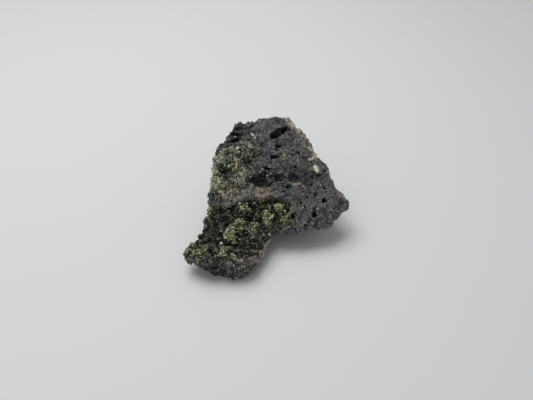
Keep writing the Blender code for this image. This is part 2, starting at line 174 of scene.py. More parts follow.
def holed(points, holes):
    """Depths of long holes sunk into the sloping face, steep-sided with a rounded floor."""
    depths = np.zeros(len(points))
    for x, y, long, wide, deep, turn in holes:
        middle = (np.array((x, y, 0)) + SHIFT) * MM
        over = np.hypot(points[:, 0] - middle[0], points[:, 1] - middle[1]) < 0.8 * MM
        middle[2] = points[over, 2].max()  # the height of its rim
        apart = (points - middle) / MM
        turn = math.radians(turn)
        lengthwise = np.array((math.cos(turn), math.sin(turn) * FACE_UP.z, -math.sin(turn) * FACE_UP.y))
        sideways = np.cross(FACE_UP, lengthwise)
        reach = np.hypot(apart @ lengthwise / long, apart @ sideways / wide)
        inside = (reach < 1) & (np.abs(apart @ np.array(FACE_UP)) < HOLE_SPAN)
        depths[inside] = np.maximum(depths[inside], deep * MM * (1 - reach[inside] ** 3))
    return depths


class Finish:
    """A node material: add() makes a node with its settings and inputs, and inputs may be sockets."""

    def __init__(self, name):
        self.material = bpy.data.materials.new(name)
        self.material.use_nodes = True
        self.nodes = self.material.node_tree.nodes
        self.links = self.material.node_tree.links
        self.shader = self.nodes["Principled BSDF"]
        self.spot = self.add("ShaderNodeTexCoord").outputs["Object"]

    def add(self, kind, inputs=None, **settings):
        node = self.nodes.new(kind)
        for key, value in settings.items():
            setattr(node, key, value)
        for key, value in (inputs or {}).items():
            self.put(node.inputs[key], value)
        return node

    def put(self, socket, value):
        """Links a socket to an input or sets its value; a colour may be three numbers."""
        if isinstance(value, bpy.types.NodeSocket):
            self.links.new(value, socket)
        elif isinstance(value, tuple) and len(value) == 3 and socket.type == "RGBA":
            socket.default_value = (*value, 1)
        else:
            socket.default_value = value

    def noise(self, size, detail=4.0, rough=0.55, distort=0.0):
        """Noise with features of this size in metres, mostly between 0.3 and 0.7."""
        inputs = {"Vector": self.spot, "Scale": 1 / size, "Detail": detail, "Roughness": rough, "Distortion": distort}
        return self.add("ShaderNodeTexNoise", inputs).outputs["Fac"]

    def band(self, value, low, high, out_low=0.0, out_high=1.0):
        """Maps low and high of a value to out_low and out_high, and no further."""
        inputs = {"Value": value, "From Min": low, "From Max": high, "To Min": out_low, "To Max": out_high}
        return self.add("ShaderNodeMapRange", inputs).outputs["Result"]

    def times(self, first, second):
        return self.add("ShaderNodeMath", {0: first, 1: second}, operation="MULTIPLY").outputs[0]

    def mix(self, share, first, second):
        """The first colour with this share of the second."""
        node = self.add("ShaderNodeMix", data_type="RGBA")
        self.put(node.inputs[0], share)
        self.put(node.inputs[6], first)
        self.put(node.inputs[7], second)
        return node.outputs[2]

    def read(self, name, output="Fac"):
        """What the mesh keeps at each vertex under this name."""
        return self.add("ShaderNodeAttribute", attribute_name=name).outputs[output]

    def finish(self, **inputs):
        """Sets the surface's inputs, _ standing for a space, and gives the material."""
        for key, value in inputs.items():
            self.put(self.shader.inputs[key.replace("_", " ")], value)
        return self.material

    def bump(self, height, depth):
        inputs = {"Height": height, "Distance": depth, "Strength": 1.0}
        return self.add("ShaderNodeBump", inputs).outputs["Normal"]


VOXEL = 0.30 * MM
LEVEL = 0.2 * MM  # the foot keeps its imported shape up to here
FOOT = 0.6 * MM  # and takes on the full relief over this much more
# The relief of the whole skin: name, size, strength and kind.
RELIEFS = (
    ("broken", 6.0 * MM, -1.4 * MM, {"noise_depth": 2, "noise_type": "HARD_NOISE"}),
    ("lumps", 2.4 * MM, 1.0 * MM, {"noise_depth": 2}),
    ("grit", 0.9 * MM, 0.5 * MM, {"noise_depth": 1}),
)
BREAKS = ((4.5 * MM, 0.16, 7), (1.7 * MM, 0.22, 8))  # flat faces: their size, how far they step and tilt, seed
BUBBLES = (2300, 0.28 * MM, 1.15 * MM)  # how many, and the least and greatest radius
LARGE_BUBBLES = (110, 0.8 * MM, 2.6 * MM)  # on the back and the sides
HOLE_SPAN = 2.5  # a hole takes in the skin up to this far (mm) above and below its rim
FACE_UP = Vector((0, -0.56, 1)).normalized()  # the broken face that carries the peridot leans to the front
# The large gas holes in that face: x and y on the layout grid, two half-sizes, depth (all mm) and turn in degrees.
HOLES = [
    (4.4, 26.8, 3.0, 1.9, 2.4, 8), (8.2, 28.9, 2.9, 1.4, 2.4, 46), (6.4, 27.9, 2.6, 1.6, 2.5, 28),
    (5.6, 21.9, 1.8, 0.9, 1.6, 8), (4.9, 19.6, 1.2, 0.5, 1.2, 0), (4.0, 16.3, 2.7, 0.8, 1.8, -5),
    (-14.0, 28.3, 3.3, 1.2, 2.4, -16), (-14.9, 24.5, 3.4, 1.0, 2.2, 17), (21.9, -8.5, 1.4, 1.7, 3.0, 0),
    (26.7, -3.1, 1.4, 1.4, 2.4, 0), (11.9, -9.5, 1.4, 1.5, 2.6, 0), (17.9, -12.9, 0.8, 0.8, 1.4, 0),
    (13.6, 11.5, 0.8, 0.6, 1.2, 0), (22.6, -0.5, 0.8, 0.7, 1.2, 0), (27.1, 9.6, 0.9, 1.0, 1.4, 0),
    (8.2, 1.2, 1.3, 0.8, 1.2, 15), (13.9, 6.7, 3.2, 2.1, 2.2, -32), (1.0, 11.3, 3.4, 0.7, 1.4, -4),
    (16.0, -3.6, 0.7, 0.6, 1.0, 0), (4.1, 6.3, 4.2, 1.5, 1.3, -8),
]
# Hollows under an overhang: centre and half-sizes on the layout grid, then how far the skin is pushed in (mm).
CAVES = [
    ((-1.4, 9.6, 23.4), (8.2, 3.6, 3.2), (0.0, 1.0, -0.4)),
    ((13.6, 8.2, 23.8), (3.0, 2.4, 2.4), (0.4, 1.6, -0.6)),
    ((-14.0, 29.6, 36.6), (4.6, 1.8, 2.2), (0.0, 2.2, -0.6)),
    ((-24.0, -34.5, 3.4), (7.0, 5.0, 3.4), (0.0, 2.4, 0.0)),
    ((-10.0, -36.0, 2.6), (5.0, 4.0, 2.6), (0.0, 1.6, 0.0)),
]
# Soft-edged places on the layout grid, as centre and half-sizes: tan floors of the hollows, dark walls and caves
# (dark glassy rock, with painted shade under the overhangs), pale weathering, and the roughest breaks.
LININGS = [
    ((-1.2, 2.2, 20.2), (7.2, 4.5, 3.2)), ((14.4, 4.6, 22.6), (3.4, 1.8, 3.0)),
    ((17.0, 3.2, 22.2), (1.8, 1.2, 2.0)), ((4.9, 1.6, 21.2), (1.7, 1.2, 1.2)),
    ((10.2, 3.0, 22.0), (1.3, 0.8, 1.0)),
]
DARK_AND_SHADE = [
    ((-15.5, 27.5, 36.0), (8.0, 5.6, 5.0)), ((-22.5, 21.0, 31.5), (4.5, 4.5, 4.5)),
    ((-1.4, 9.0, 23.6), (8.6, 3.6, 4.0)), ((-1.4, 6.6, 21.8), (8.0, 3.4, 3.4)),
    ((2.6, 8.0, 23.4), (5.5, 2.8, 3.5)), ((-9.5, 5.0, 22.6), (3.2, 3.6, 3.0)),
    ((13.6, 7.8, 24.2), (3.4, 2.4, 2.6)), ((5.2, 6.4, 22.4), (4.2, 2.6, 3.0)),
    ((-24.0, -32.0, 4.0), (15.0, 10.0, 9.0)), ((9.0, -16.5, 9.0), (8.0, 3.0, 3.0)),
    ((17.5, 3.0, 22.0), (5.0, 3.0, 3.0)), ((15.0, 10.5, 26.5), (3.4, 2.0, 2.4)),
    ((20.0, 6.0, 28.8), (9.0, 7.0, 6.0)), ((-27.0, -31.0, 4.0), (7.0, 7.0, 6.0)),
    ((-19.0, -34.0, 4.0), (7.0, 5.0, 6.0)), ((-30.5, -29.8, 5.0), (6.0, 5.0, 6.0)),
    ((9.2, 6.0, 23.0), (2.8, 2.0, 2.8)), ((-24.5, -1.5, 19.0), (4.5, 3.0, 3.5)),
]
# Pale places; on the front lobe's right wall they are partly painted bounce light from the floor.
PALE = [
    ((15.0, 19.2, 31.2), (4.5, 3.5, 3.0)), ((18.5, 22.0, 32.8), (4.0, 3.5, 3.0)),
    ((8.8, 15.2, 29.0), (4.5, 2.6, 2.6)), ((-8.0, -32.0, 6.0), (9.0, 6.0, 6.0)),
    ((-3.0, -22.0, 8.0), (5.0, 8.0, 5.0)), ((0.0, -19.5, 8.5), (5.0, 8.0, 6.0)),
    ((4.0, -14.0, 11.0), (4.0, 4.0, 4.0)), ((-5.0, -27.0, 5.0), (5.0, 5.0, 5.0)),
]
JAGGED = [
    ((-16.0, 28.0, 36.0), (11.0, 8.0, 8.0)), ((-1.4, 9.0, 25.0), (11.0, 5.0, 5.0)),
    ((-22.0, -33.0, 5.0), (14.0, 9.0, 9.0)), ((-24.0, 20.0, 31.0), (7.0, 7.0, 7.0)),
]
# Lines through points of the layout grid, then how far each one's effect reaches and what it does (mm).
TONGUE = [(-18.4, -3.8, 18.2), (-13.7, -1.1, 19.8), (-9.6, 1.6, 21.2), (-7.6, 4.4, 22.8)]  # raised along the ledge
TONGUE_REACH, TONGUE_RISE = 2.8, 0.9
RIDGE = [(11.0, 34.6, 40.6), (17.0, 30.0, 36.6), (21.2, 24.6, 33.4), (24.6, 18.4, 30.0)]  # drawn in and worn pale
RIDGE_REACH, RIDGE_PUSH, RIDGE_WORN = 8.0, np.array((-1.5, -0.5, -0.6)), 3.0
BROW = [(3.6, -14.0, 12.4), (-1.0, -21.0, 8.4), (-4.0, -26.4, 5.6)]  # the pale right wall of the front lobe, lightened partly as painted bounce light
BROW_REACH = 6.0

basalt = copy_of("basalt_matrix", "basalt")
applied(basalt, "REMESH", mode="VOXEL", voxel_size=VOXEL)
applied(basalt, "SMOOTH", factor=0.5, iterations=4)
before = vectors(basalt.data.vertices, "co")
skin_normals = vectors(basalt.data.vertex_normals, "vector")
for name, size, strength, settings in RELIEFS:
    applied(basalt, "DISPLACE", texture=relief(name, size, **settings), strength=strength, mid_level=0.5)
skin = vectors(basalt.data.vertices, "co")
rough = near_any(skin, JAGGED) ** 0.5
breaks = sum(shards(skin, size, np.random.default_rng(seed)) * share for size, share, seed in BREAKS)
skin += skin_normals * (breaks * (0.75 + 1.3 * rough) - 0.4 * MM * rough)[:, None]  # the jagged places also sink
tongue = along(skin, TONGUE, TONGUE_REACH)
skin += skin_normals * (tongue * TONGUE_RISE * MM)[:, None]
skin += along(before, RIDGE, RIDGE_REACH)[:, None] * RIDGE_PUSH * MM
for centre, halves, push in CAVES:
    skin += np.clip(near(skin, centre, halves) * 2, 0, 1)[:, None] * np.array(push) * MM
holes = holed(skin, HOLES)
skin -= skin_normals * (bubbled(skin, *BUBBLES, np.random.default_rng(3)) * (holes == 0))[:, None]
away = skin_normals @ np.array(FACE_UP) < 0.5  # not on the broad face
skin -= skin_normals * (bubbled(skin, *LARGE_BUBBLES, np.random.default_rng(5)) * away)[:, None]
skin -= np.array(FACE_UP) * holes[:, None]
skin = before + (skin - before) * np.clip((before[:, 2:] - LEVEL) / FOOT, 0, 1)
skin[:, 2] = np.maximum(skin[:, 2], 0)
place(basalt, skin)

# What the material reads: how far each point stands out of an evened copy, for painted shade in the dips and a lighter
# raised edge, and where the finish changes.
even = bpy.data.objects.new("even", basalt.data.copy())
bpy.context.scene.collection.objects.link(even)
applied(even, "SMOOTH", factor=0.5, iterations=60)
proud = ((skin - vectors(even.data.vertices, "co")) * skin_normals).sum(axis=1) / MM
bpy.data.objects.remove(even)
store(basalt, "proud", proud)
store(basalt, "lining", near_any(skin, LININGS))
# dark glassy rock, and painted shade on the cave walls and in the gas holes, the deeper the darker
store(basalt, "dark_and_shade", np.maximum(near_any(skin, DARK_AND_SHADE), holes / MM))
store(basalt, "pale", np.maximum(near_any(skin, PALE), tongue * 0.8))
# pale worn ridges, and on the front lobe's right wall partly painted bounce light
store(basalt, "worn_and_bounce_lit", np.maximum(along(before, RIDGE, RIDGE_WORN), along(before, BROW, BROW_REACH) * 0.6))
applied(basalt, "DECIMATE", ratio=0.56)  # to under 200,000 triangles

lava = Finish("basalt")
blotches = lava.band(lava.noise(1.4 * MM, 4, 0.65), 0.40, 0.56, 0, 0.85)
uneven_dark = lava.band(lava.noise(1.8 * MM, 4, 0.6), 0.34, 0.66, 1.0, 0.5)
crumbs = lava.band(lava.noise(1.6 * MM, 4), 0.34, 0.44)
flakes = lava.band(lava.noise(3.0 * MM, 4, 0.65), 0.44, 0.52)
tan = lava.mix(lava.band(lava.noise(1.1 * MM, 4, 0.6), 0.35, 0.65), (0.145, 0.112, 0.086), (0.41, 0.335, 0.265))
mottle = lava.band(lava.noise(1.5 * MM, 6, 0.75), 0.36, 0.64)
ground = lava.mix(mottle, (0.030, 0.033, 0.038), (0.150, 0.149, 0.151))
for share, colour in (
    (lava.band(lava.noise(6 * MM, 4, 0.6), 0.48, 0.58, 0, 0.75), (0.155, 0.135, 0.120)),  # brown stains
    (lava.band(lava.noise(3.5 * MM, 4, 0.6, 1.0), 0.50, 0.38, 0, 0.9), (0.030, 0.034, 0.042)),  # blue-black patches
    (lava.times(lava.band(lava.read("pale"), 0.05, 0.5), blotches), (0.278, 0.260, 0.246)),  # weathered white, on the front lobe's right wall partly painted bounce light
    (lava.band(lava.noise(0.70 * MM, 3, 0.7), 0.57, 0.66, 0, 0.75), (0.43, 0.425, 0.42)),  # pale flecks
    (lava.band(lava.noise(0.9 * MM, 3, 0.6), 0.44, 0.36), (0.012, 0.012, 0.015)),  # painted shade of pores too small to carve
    (lava.band(lava.read("proud"), 0.05, 0.6, 0, 0.30), (0.27, 0.265, 0.26)),  # raised edges lighter: partly rubbed wear, partly painted highlight
    (lava.band(lava.read("proud"), -0.15, -0.7, 0, 0.93), (0.009, 0.009, 0.011)),  # painted shade in the bottoms of the bubbles
    (lava.times(lava.band(lava.read("dark_and_shade"), 0.0, 0.45), uneven_dark), (0.012, 0.013, 0.017)),  # dark glassy rock, and painted shade on the cave walls and in the holes
    (lava.times(lava.band(lava.read("lining"), 0.04, 0.22), crumbs), tan),  # floors of the open hollows
    (lava.times(lava.band(lava.read("worn_and_bounce_lit"), 0.1, 0.5), flakes), (0.47, 0.41, 0.34)),  # worn ridges, and partly painted bounce light on the front lobe's right wall
):
    ground = lava.mix(share, ground, colour)
grain = lava.bump(lava.noise(0.5 * MM, 4, 0.6), 0.4 * MM)
polish = lava.band(lava.read("dark_and_shade"), 0.2, 0.7, 0.85, 0.55)
basalt.data.materials.append(lava.finish(Base_Color=ground, Roughness=polish, Normal=grain))

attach(basalt, "root")
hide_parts("basalt_matrix")

# ---------------------------------------------------------------- peridot
# The green mass is a crust of glassy crystals grown together on a dark bed, raised in bright clumps. A few
# crystals are cut by flat planes, then set by the thousand over the bed, the large ones first.


def cut_crystals(count, cuts, chance):
    """Crystals of about unit size as (points, faces): a block bisected by flat planes all round."""
    shapes = []
    for _ in range(count):
        bpy.ops.object.select_all(action="DESELECT")
        bpy.ops.mesh.primitive_cube_add(size=2)
        bpy.ops.object.mode_set(mode="EDIT")
        for _ in range(cuts):
            heading = Vector([chance.gauss(0, 1) for _ in range(3)]).normalized()
            bpy.ops.mesh.select_all(action="SELECT")
            bpy.ops.mesh.bisect(plane_co=heading * chance.uniform(0.6, 1.0), plane_no=heading,
                                use_fill=True, clear_outer=True)
        bpy.ops.mesh.select_all(action="SELECT")
        bpy.ops.mesh.remove_doubles(threshold=0.12)
        bpy.ops.mesh.dissolve_limited(angle_limit=math.radians(6))
        bpy.ops.object.mode_set(mode="OBJECT")
        block = bpy.context.object
        faces = [tuple(face.vertices) for face in block.data.polygons]
        shapes.append((vectors(block.data.vertices, "co"), faces))
        bpy.data.objects.remove(block)
    return shapes


def solid_of(node):
    """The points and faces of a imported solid."""
    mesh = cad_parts[node].data
    return [v.co.copy() for v in mesh.vertices], [tuple(p.vertices) for p in mesh.polygons]


def glow_of(points, clumps):
    """How far each point lies in one of some clumps with ragged outlines, from 0 to about 1. A clump is
    (x, y, size, strength) on the layout grid."""
    grid = points / MM - SHIFT
    for size, reach in RAGGED:
        grid += np.array([noise.noise_vector(Vector(point) / size) for point in grid]) * reach
    glow = np.zeros(len(points))
    for x, y, size, strength in clumps:
        apart = ((grid[:, 0] - x) ** 2 + (grid[:, 1] - y) ** 2) / (size * size)
        glow = np.maximum(glow, strength * np.exp(-apart ** 1.6))
    uneven = np.array([noise.noise(Vector(point) / UNEVEN[0]) for point in grid])
    return glow * (1 + UNEVEN[1] * uneven)


def bed_of(node, name, clumps, lift, lumps, sink):
    """A dark bed under the crystals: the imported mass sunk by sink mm, then raised by lift mm in clumps and by lumps
    of (size, height) in mm. Also gives, where it isn't against the lava, its points, their directions outward, how
    far they lie in a clump, and how far they rose in mm."""
    bed = copy_of(node, name)
    applied(bed, "REMESH", mode="VOXEL", voxel_size=BED_VOXEL)
    applied(bed, "SMOOTH", factor=0.5, iterations=5)
    before = vectors(bed.data.vertices, "co")
    outward = vectors(bed.data.vertex_normals, "vector")
    for kind, size, strength in ((" lumps", *lumps), (" grit", *BED_GRIT)):
        texture = relief(name + kind, size * MM, noise_depth=1)
        applied(bed, "DISPLACE", texture=texture, strength=strength * MM, mid_level=0.5)
    glow = glow_of(before, clumps)
    after = vectors(bed.data.vertices, "co") + outward * ((glow * lift - sink) * MM)[:, None]
    place(bed, after)
    height = ((after - before) * outward).sum(axis=1) / MM
    lava_tree = BVHTree.FromPolygons(*solid_of("basalt_matrix"))
    bare = [lava_tree.find_nearest(Vector(point), LAVA_GAP)[0] is None for point in before]
    return bed, after[bare], outward[bare], glow[bare], height[bare]


def settle(points, radii, taken):
    """Sets balls one by one where they don't crowd those already taken, by cells of space, and gives the free ones."""
    free = []
    for index, (point, radius) in enumerate(zip(points, radii)):
        key = tuple(math.floor(value / CELL) for value in point)
        around = [(key[0] + i, key[1] + j, key[2] + k) for i, j, k in itertools.product((-1, 0, 1), repeat=3)]
        if all(math.dist(point, other) >= CLOSENESS * (radius + size)
               for spot in around for other, size in taken.get(spot, ())):
            taken.setdefault(key, []).append((point, radius))
            free.append(index)
    return free


def crust(points, outward, lit, shade, palette, accents, sizes, chance):
    """Crystals over these points as (centre, radius, tint), sorted by finish. lit says how far a point lies in a
    clump, and shade how bright it is. palette has (weight in a clump, weight outside, tints) for each finish.
    accents are (x, y, size, tint): round places where many crystals take another tint, the later ones over the
    earlier. sizes are rounds of (least radius, greatest, share of the points tried), the largest crystals first."""
    taken = {}
    groups = {group: [] for group in palette}
    order = list(range(len(points)))
    for least, most, share in sizes:
        chance.shuffle(order)
        picked = order[:int(share * len(order))]
        spots = [tuple(points[i] + np.array([chance.uniform(-JITTER, JITTER) for _ in range(3)]) * MM)
                 for i in picked]
        radii = [chance.uniform(least, most) * (1 - FINER * lit[i]) * MM for i in picked]
        for which in settle(spots, radii, taken):
            index, radius = picked[which], radii[which]
            weights = [(1 - lit[index]) * outside + lit[index] * inside for inside, outside, _ in palette.values()]
            group = chance.choices(list(palette), weights)[0]
            tint = chance.choice(palette[group][2])
            x, y = points[index][:2] / MM - SHIFT[:2]
            for accent_x, accent_y, size, other in accents:
                if group != "dark" and math.hypot(x - accent_x, y - accent_y) < size * chance.random() ** 0.5:
                    tint = other
            # shade carries painted light on the lumps and painted shade in the dips and dark gaps
            light = min(chance.uniform(*VARIED) * shade[index], BRIGHTEST / max(tint))
            grey, pallor = sum(tint) / 3, PALLOR * (1 - lit[index])
            tint = [value + (grey - value) * pallor for value in tint]
            centre = np.array(spots[which]) + outward[index] * radius * STANDING
            if centre[2] >= OFF_FLOOR * radius:
                groups[group].append((centre, radius, tuple(value * light for value in tint)))
    return groups


def with_rim(points, outward, lit, shade, rim, rim_lit, rim_shade):
    """A bed's points, joined by those of the lava, given by index, that its crystals spill on to."""
    return (np.concatenate((points, skin[rim])), np.concatenate((outward, skin_normals[rim])),
            np.concatenate((lit, np.full(len(rim), rim_lit))), np.concatenate((shade, np.full(len(rim), rim_shade))))


def joined(name, shapes, crystals, chance):
    """One mesh of many crystals, each turned and stretched at random, with its own tint."""
    points, faces, colours = [], [], []
    count = 0
    for centre, radius, tint in crystals:
        shape, shape_faces = shapes[chance.randrange(len(shapes))]
        stretch = Matrix.Diagonal([chance.uniform(*STRETCH) for _ in range(3)])
        turn = Euler([chance.uniform(0, math.tau) for _ in range(3)]).to_matrix() @ stretch
        points.append(shape @ np.array(turn).T * radius + centre)
        faces.extend(tuple(i + count for i in face) for face in shape_faces)
        colours.append(np.tile((*tint, 1.0), (len(shape), 1)))
        count += len(shape)
    mesh = bpy.data.meshes.new(name)
    mesh.from_pydata(np.concatenate(points).tolist(), [], faces)
    attribute = mesh.attributes.new("tint", "FLOAT_COLOR", "POINT")
    attribute.data.foreach_set("color", np.concatenate(colours).astype(np.float32).ravel())
    piece = bpy.data.objects.new(name, mesh)
    bpy.context.scene.collection.objects.link(piece)
    return piece


def spilled(core, reach, share, chance):
    """Places on the lava round the edge of a crust, thinning out with distance from it."""
    tree = tree_of(core)
    found = []
    for index in range(len(skin)):
        if skin_normals[index][2] > -0.3 and chance.random() < share:  # none hang under an overhang
            apart = tree.find(skin[index])[2]
            if apart < reach and chance.random() < (1 - apart / reach) ** 1.5:
                found.append(index)
    return found


def crystal_finish(name, **inputs):
    """A finish that takes its colour from each crystal's own tint."""
    look = Finish(name)
    return look.finish(Base_Color=look.read("tint", "Color"), **inputs)


def bed_finish(name, dark, pale, roughness):
    """A dull two-toned finish for the bed that shows between the crystals."""
    look = Finish(name)
    # the bed's dark tones stand partly for dark grains and partly for painted shade between the crystals
    tone = look.mix(look.band(look.noise(1.2 * MM, 4), 0.4, 0.6), dark, pale)
    return look.finish(Base_Color=tone, Roughness=roughness)


FINISHES = {
    "glassy": crystal_finish("peridot crystal", Roughness=0.21, IOR=1.60, Transmission_Weight=0.35),
    "olive": crystal_finish("olive crystal", Roughness=0.34, IOR=1.55, Transmission_Weight=0.1),
    "dark": crystal_finish("black crystal", Roughness=0.21, IOR=1.55),
}

RAGGED = ((2.6, 1.4), (0.9, 0.5))  # waves in a clump's outline: their size and reach (mm)
UNEVEN = (1.3, 0.7)  # the size (mm) and strength of brighter and duller spots inside a clump
BED_VOXEL = 0.42 * MM
BED_GRIT = (1.3, 0.9)  # size and height in mm
LAVA_GAP = 0.42 * MM  # where the lava is nearer than this, the bed carries no crystals
JITTER = 0.2  # how far (mm) a crystal may stand off its point of the bed
CELL = 2.6 * MM  # wider than two of the largest crystals
CLOSENESS = 0.62  # how near two crystals may stand, as a share of their radii together
FINER = 0.42  # crystals in the middle of a clump are smaller by this share
VARIED = (0.42, 1.45)  # how much darker or brighter than its tint one crystal may be
BRIGHTEST = 0.66  # and the most that its colour may reach
PALLOR = 0.2  # how much greyer crystals are outside the clumps
STANDING = 0.25  # how far a crystal's middle stands out from its point of the bed, in radii
OFF_FLOOR = 1.9  # and its least height over the floor, in radii
STRETCH = (0.7, 1.35)  # a crystal's scale along each of its axes

noise.seed_set(1)  # without it the clumps' outlines differ from run to run
crystal_shapes = cut_crystals(count=16, cuts=7, chance=random.Random(21))

# Bright clumps and dark gaps, as (x, y, size, strength), and accents, as (x, y, size, tint), on the layout grid.
CLUMPS = [
    (0.4, -9.8, 2.6, 1.1), (-0.2, -7.2, 1.6, 0.8), (5.3, -4.4, 2.5, 0.8), (8.6, -4.0, 1.7, 0.6),
    (-12.7, -12.4, 2.5, 1.0), (-13.0, -14.6, 2.0, 0.8), (-15.9, -18.3, 2.8, 1.2), (-14.9, -20.4, 1.9, 1.0),
    (-27.3, -6.0, 3.0, 1.0), (-27.3, -25.8, 3.0, 0.7), (-31.0, -27.6, 2.4, 0.7), (-18.4, -25.8, 2.6, 0.8),
    (-14.6, -28.8, 1.8, 0.7), (-10.9, -4.4, 1.9, 0.7), (-7.6, -6.0, 1.6, 0.6), (8.5, -9.6, 2.2, 0.6),
    (-2.0, -15.7, 1.8, 0.5), (-5.2, -13.7, 2.2, 0.5), (-8.4, -14.7, 1.8, 0.5), (-10.5, -20.7, 1.8, 0.6),
    (-21.5, -28.0, 2.2, 0.6), (-32.5, -23.5, 1.8, 0.5), (-23.0, -24.0, 1.6, 0.4), (-27.5, -27.0, 5.0, 0.40),
    (-18.5, -28.0, 4.0, 0.30), (-12.0, -28.5, 4.0, 0.35), (-7.5, -24.0, 4.0, 0.35), (-4.5, -18.5, 3.6, 0.30),
    (3.5, -12.5, 3.6, 0.30), (8.5, -8.0, 3.0, 0.30), (-27.5, -8.0, 4.0, 0.35), (-4.0, -5.0, 3.0, 0.30),
]
# The dark gaps take more black crystals, and painted shade darkens the rest there.
DARKS = [
    (-23.4, -10.5, 3.6, 0.7), (-9.5, -8.4, 1.6, 0.6), (-2.0, -12.8, 1.6, 0.5), (-12.3, -23.0, 2.6, 0.9),
    (-20.4, -22.0, 2.6, 0.9), (-24.0, -28.0, 2.2, 0.7), (-5.8, -2.4, 2.6, 0.5), (2.0, -2.0, 2.4, 0.5),
    (-8.0, -19.0, 3.0, 0.9), (-12.5, -22.4, 3.4, 0.9), (-20.0, -14.0, 2.4, 0.5), (-6.5, -11.0, 1.6, 0.5),
    (-7.5, -23.5, 1.6, 0.5), (-13.0, -22.5, 6.5, 0.65),
]
ACCENTS = [
    (-17.7, -10.1, 1.3, (0.05, 0.17, 0.06)), (-24.9, -20.2, 1.5, (0.05, 0.15, 0.06)),
    (-22.5, -27.0, 2.4, (0.10, 0.07, 0.045)), (-27.1, -6.0, 2.0, (0.36, 0.38, 0.17)),
    (-10.0, -29.0, 3.4, (0.48, 0.41, 0.31)), (-5.5, -27.0, 3.0, (0.26, 0.23, 0.19)),
    (-16.4, -30.5, 2.4, (0.34, 0.31, 0.19)), (-8.5, -33.5, 4.0, (0.17, 0.16, 0.15)),
    (-26.5, -31.5, 4.0, (0.03, 0.03, 0.032)), (-20.0, -33.5, 4.0, (0.03, 0.03, 0.032)),
    (2.5, -13.5, 4.5, (0.24, 0.23, 0.15)), (-4.5, -20.0, 5.0, (0.19, 0.185, 0.125)),
    (-12.5, -27.0, 4.0, (0.26, 0.27, 0.155)), (-24.5, -26.0, 4.5, (0.26, 0.275, 0.14)),
    (-28.5, -8.0, 3.5, (0.28, 0.30, 0.15)), (-15.9, -18.3, 2.6, (0.72, 0.78, 0.52)),
    # The tan accents at (2.4, -15.2), (-0.4, -19.4) and (-2.8, -23.4) run along the front lobe's right wall and are
    # lightened partly as painted bounce light.
    (5.3, -4.4, 2.2, (0.44, 0.48, 0.27)), (2.4, -15.2, 3.0, (0.43, 0.39, 0.32)),
    (-0.4, -19.4, 3.0, (0.41, 0.37, 0.31)), (-2.8, -23.4, 3.0, (0.43, 0.39, 0.32)),
    (-5.0, -27.2, 3.0, (0.35, 0.32, 0.27)), (-9.5, -28.8, 3.2, (0.44, 0.38, 0.29)),
    (-13.8, -29.8, 2.6, (0.34, 0.32, 0.18)),
]
# For each finish, its weight in a clump and outside, and its tints.
PERIDOT = {
    "glassy": (0.76, 0.14, [(0.40, 0.45, 0.155), (0.55, 0.60, 0.28), (0.27, 0.32, 0.09), (0.57, 0.62, 0.36)]),
    "olive": (0.19, 0.46, [(0.10, 0.125, 0.04), (0.06, 0.08, 0.025), (0.16, 0.165, 0.085), (0.035, 0.055, 0.020)]),
    "dark": (0.07, 0.40, [(0.008, 0.011, 0.012), (0.018, 0.026, 0.020), (0.045, 0.050, 0.050)]),
}
SIZES = ((0.50, 0.78, 0.12), (0.34, 0.50, 0.6), (0.21, 0.30, 1.0))  # radii in mm, and share of the points tried
LEDGE = 19.2 * MM  # crystals climb the wall behind the lower mass up to here

chance = random.Random(4)
peridot_bed, points, outward, glow, height = bed_of(
    "peridot_nodule", "peridot_bed", CLUMPS, lift=2.0, lumps=(4.0, 2.2), sink=1.3)
lit = glow * 0.92 + height * 0.22 + 0.05  # glassy on the clumps, and on the higher lumps as painted light
front = np.clip((-15 - points[:, 1] / MM + SHIFT[1]) / 8, 0, 1)  # they dull over 8 mm towards the front lobe
# brighter on the bed's lumps and darker in its dips, painted light and shade, and brighter in the clumps
shade = 1.10 + height * 0.65 + 0.35 * glow - 0.27 * front
rim = [index for index in spilled(points, reach=4.4 * MM, share=0.5, chance=chance)
       if (skin[index][1] < -9 * MM or skin[index][2] < LEDGE)  # all round in front, but not far up behind
       and skin_normals[index][0] < 0.35]  # nor on faces that look to the right
points, outward, lit, shade = with_rim(points, outward, lit, shade, rim, rim_lit=0.25, rim_shade=0.8)
# the dark gaps: more black crystals, and painted shade on the rest
darks = glow_of(points, DARKS)
lit = np.clip(lit - darks, 0, 1)
shade = np.clip(shade - 0.5 * darks, 0.3, 1.8)
green = crust(points, outward, lit, shade, PERIDOT, ACCENTS, SIZES, chance)
for group, finish in FINISHES.items():
    piece = joined("peridot_" + group, crystal_shapes, green[group], chance)
    piece.data.materials.append(finish)
    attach(piece, "root")
    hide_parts("peridot_nodule")

peridot_bed.data.materials.append(bed_finish("peridot bed", (0.008, 0.009, 0.007), (0.035, 0.04, 0.02), 0.6))
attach(peridot_bed, "root")
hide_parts("peridot_nodule")

# ---------------------------------------------------------------- weathered peridot
# A second, weathered crust high on the left side: duller, finer and lumpier, with dark cracks and pits in painted
# shade, some yellow and tan grains, and an edge that thins out into the lava.

PATCH_CLUMPS = [
    (-9.8, 20.1, 3.8, 0.9), (-24.9, 15.7, 3.0, 0.9), (-16.5, 20.1, 2.6, 0.6), (-23.2, 4.4, 3.2, 1.0),
    (-20.7, 0.1, 2.0, 0.6), (-16.1, 1.4, 2.2, 0.6), (-11.0, 7.0, 2.4, 0.8), (-9.2, 10.4, 1.8, 0.6),
    (-15.9, 13.9, 2.0, 0.7), (-20.0, 17.4, 2.2, 0.5), (-24.5, 8.0, 2.4, 0.9), (-17.5, 6.0, 2.4, 0.8),
    (-23.5, 1.0, 2.4, 0.8),
]
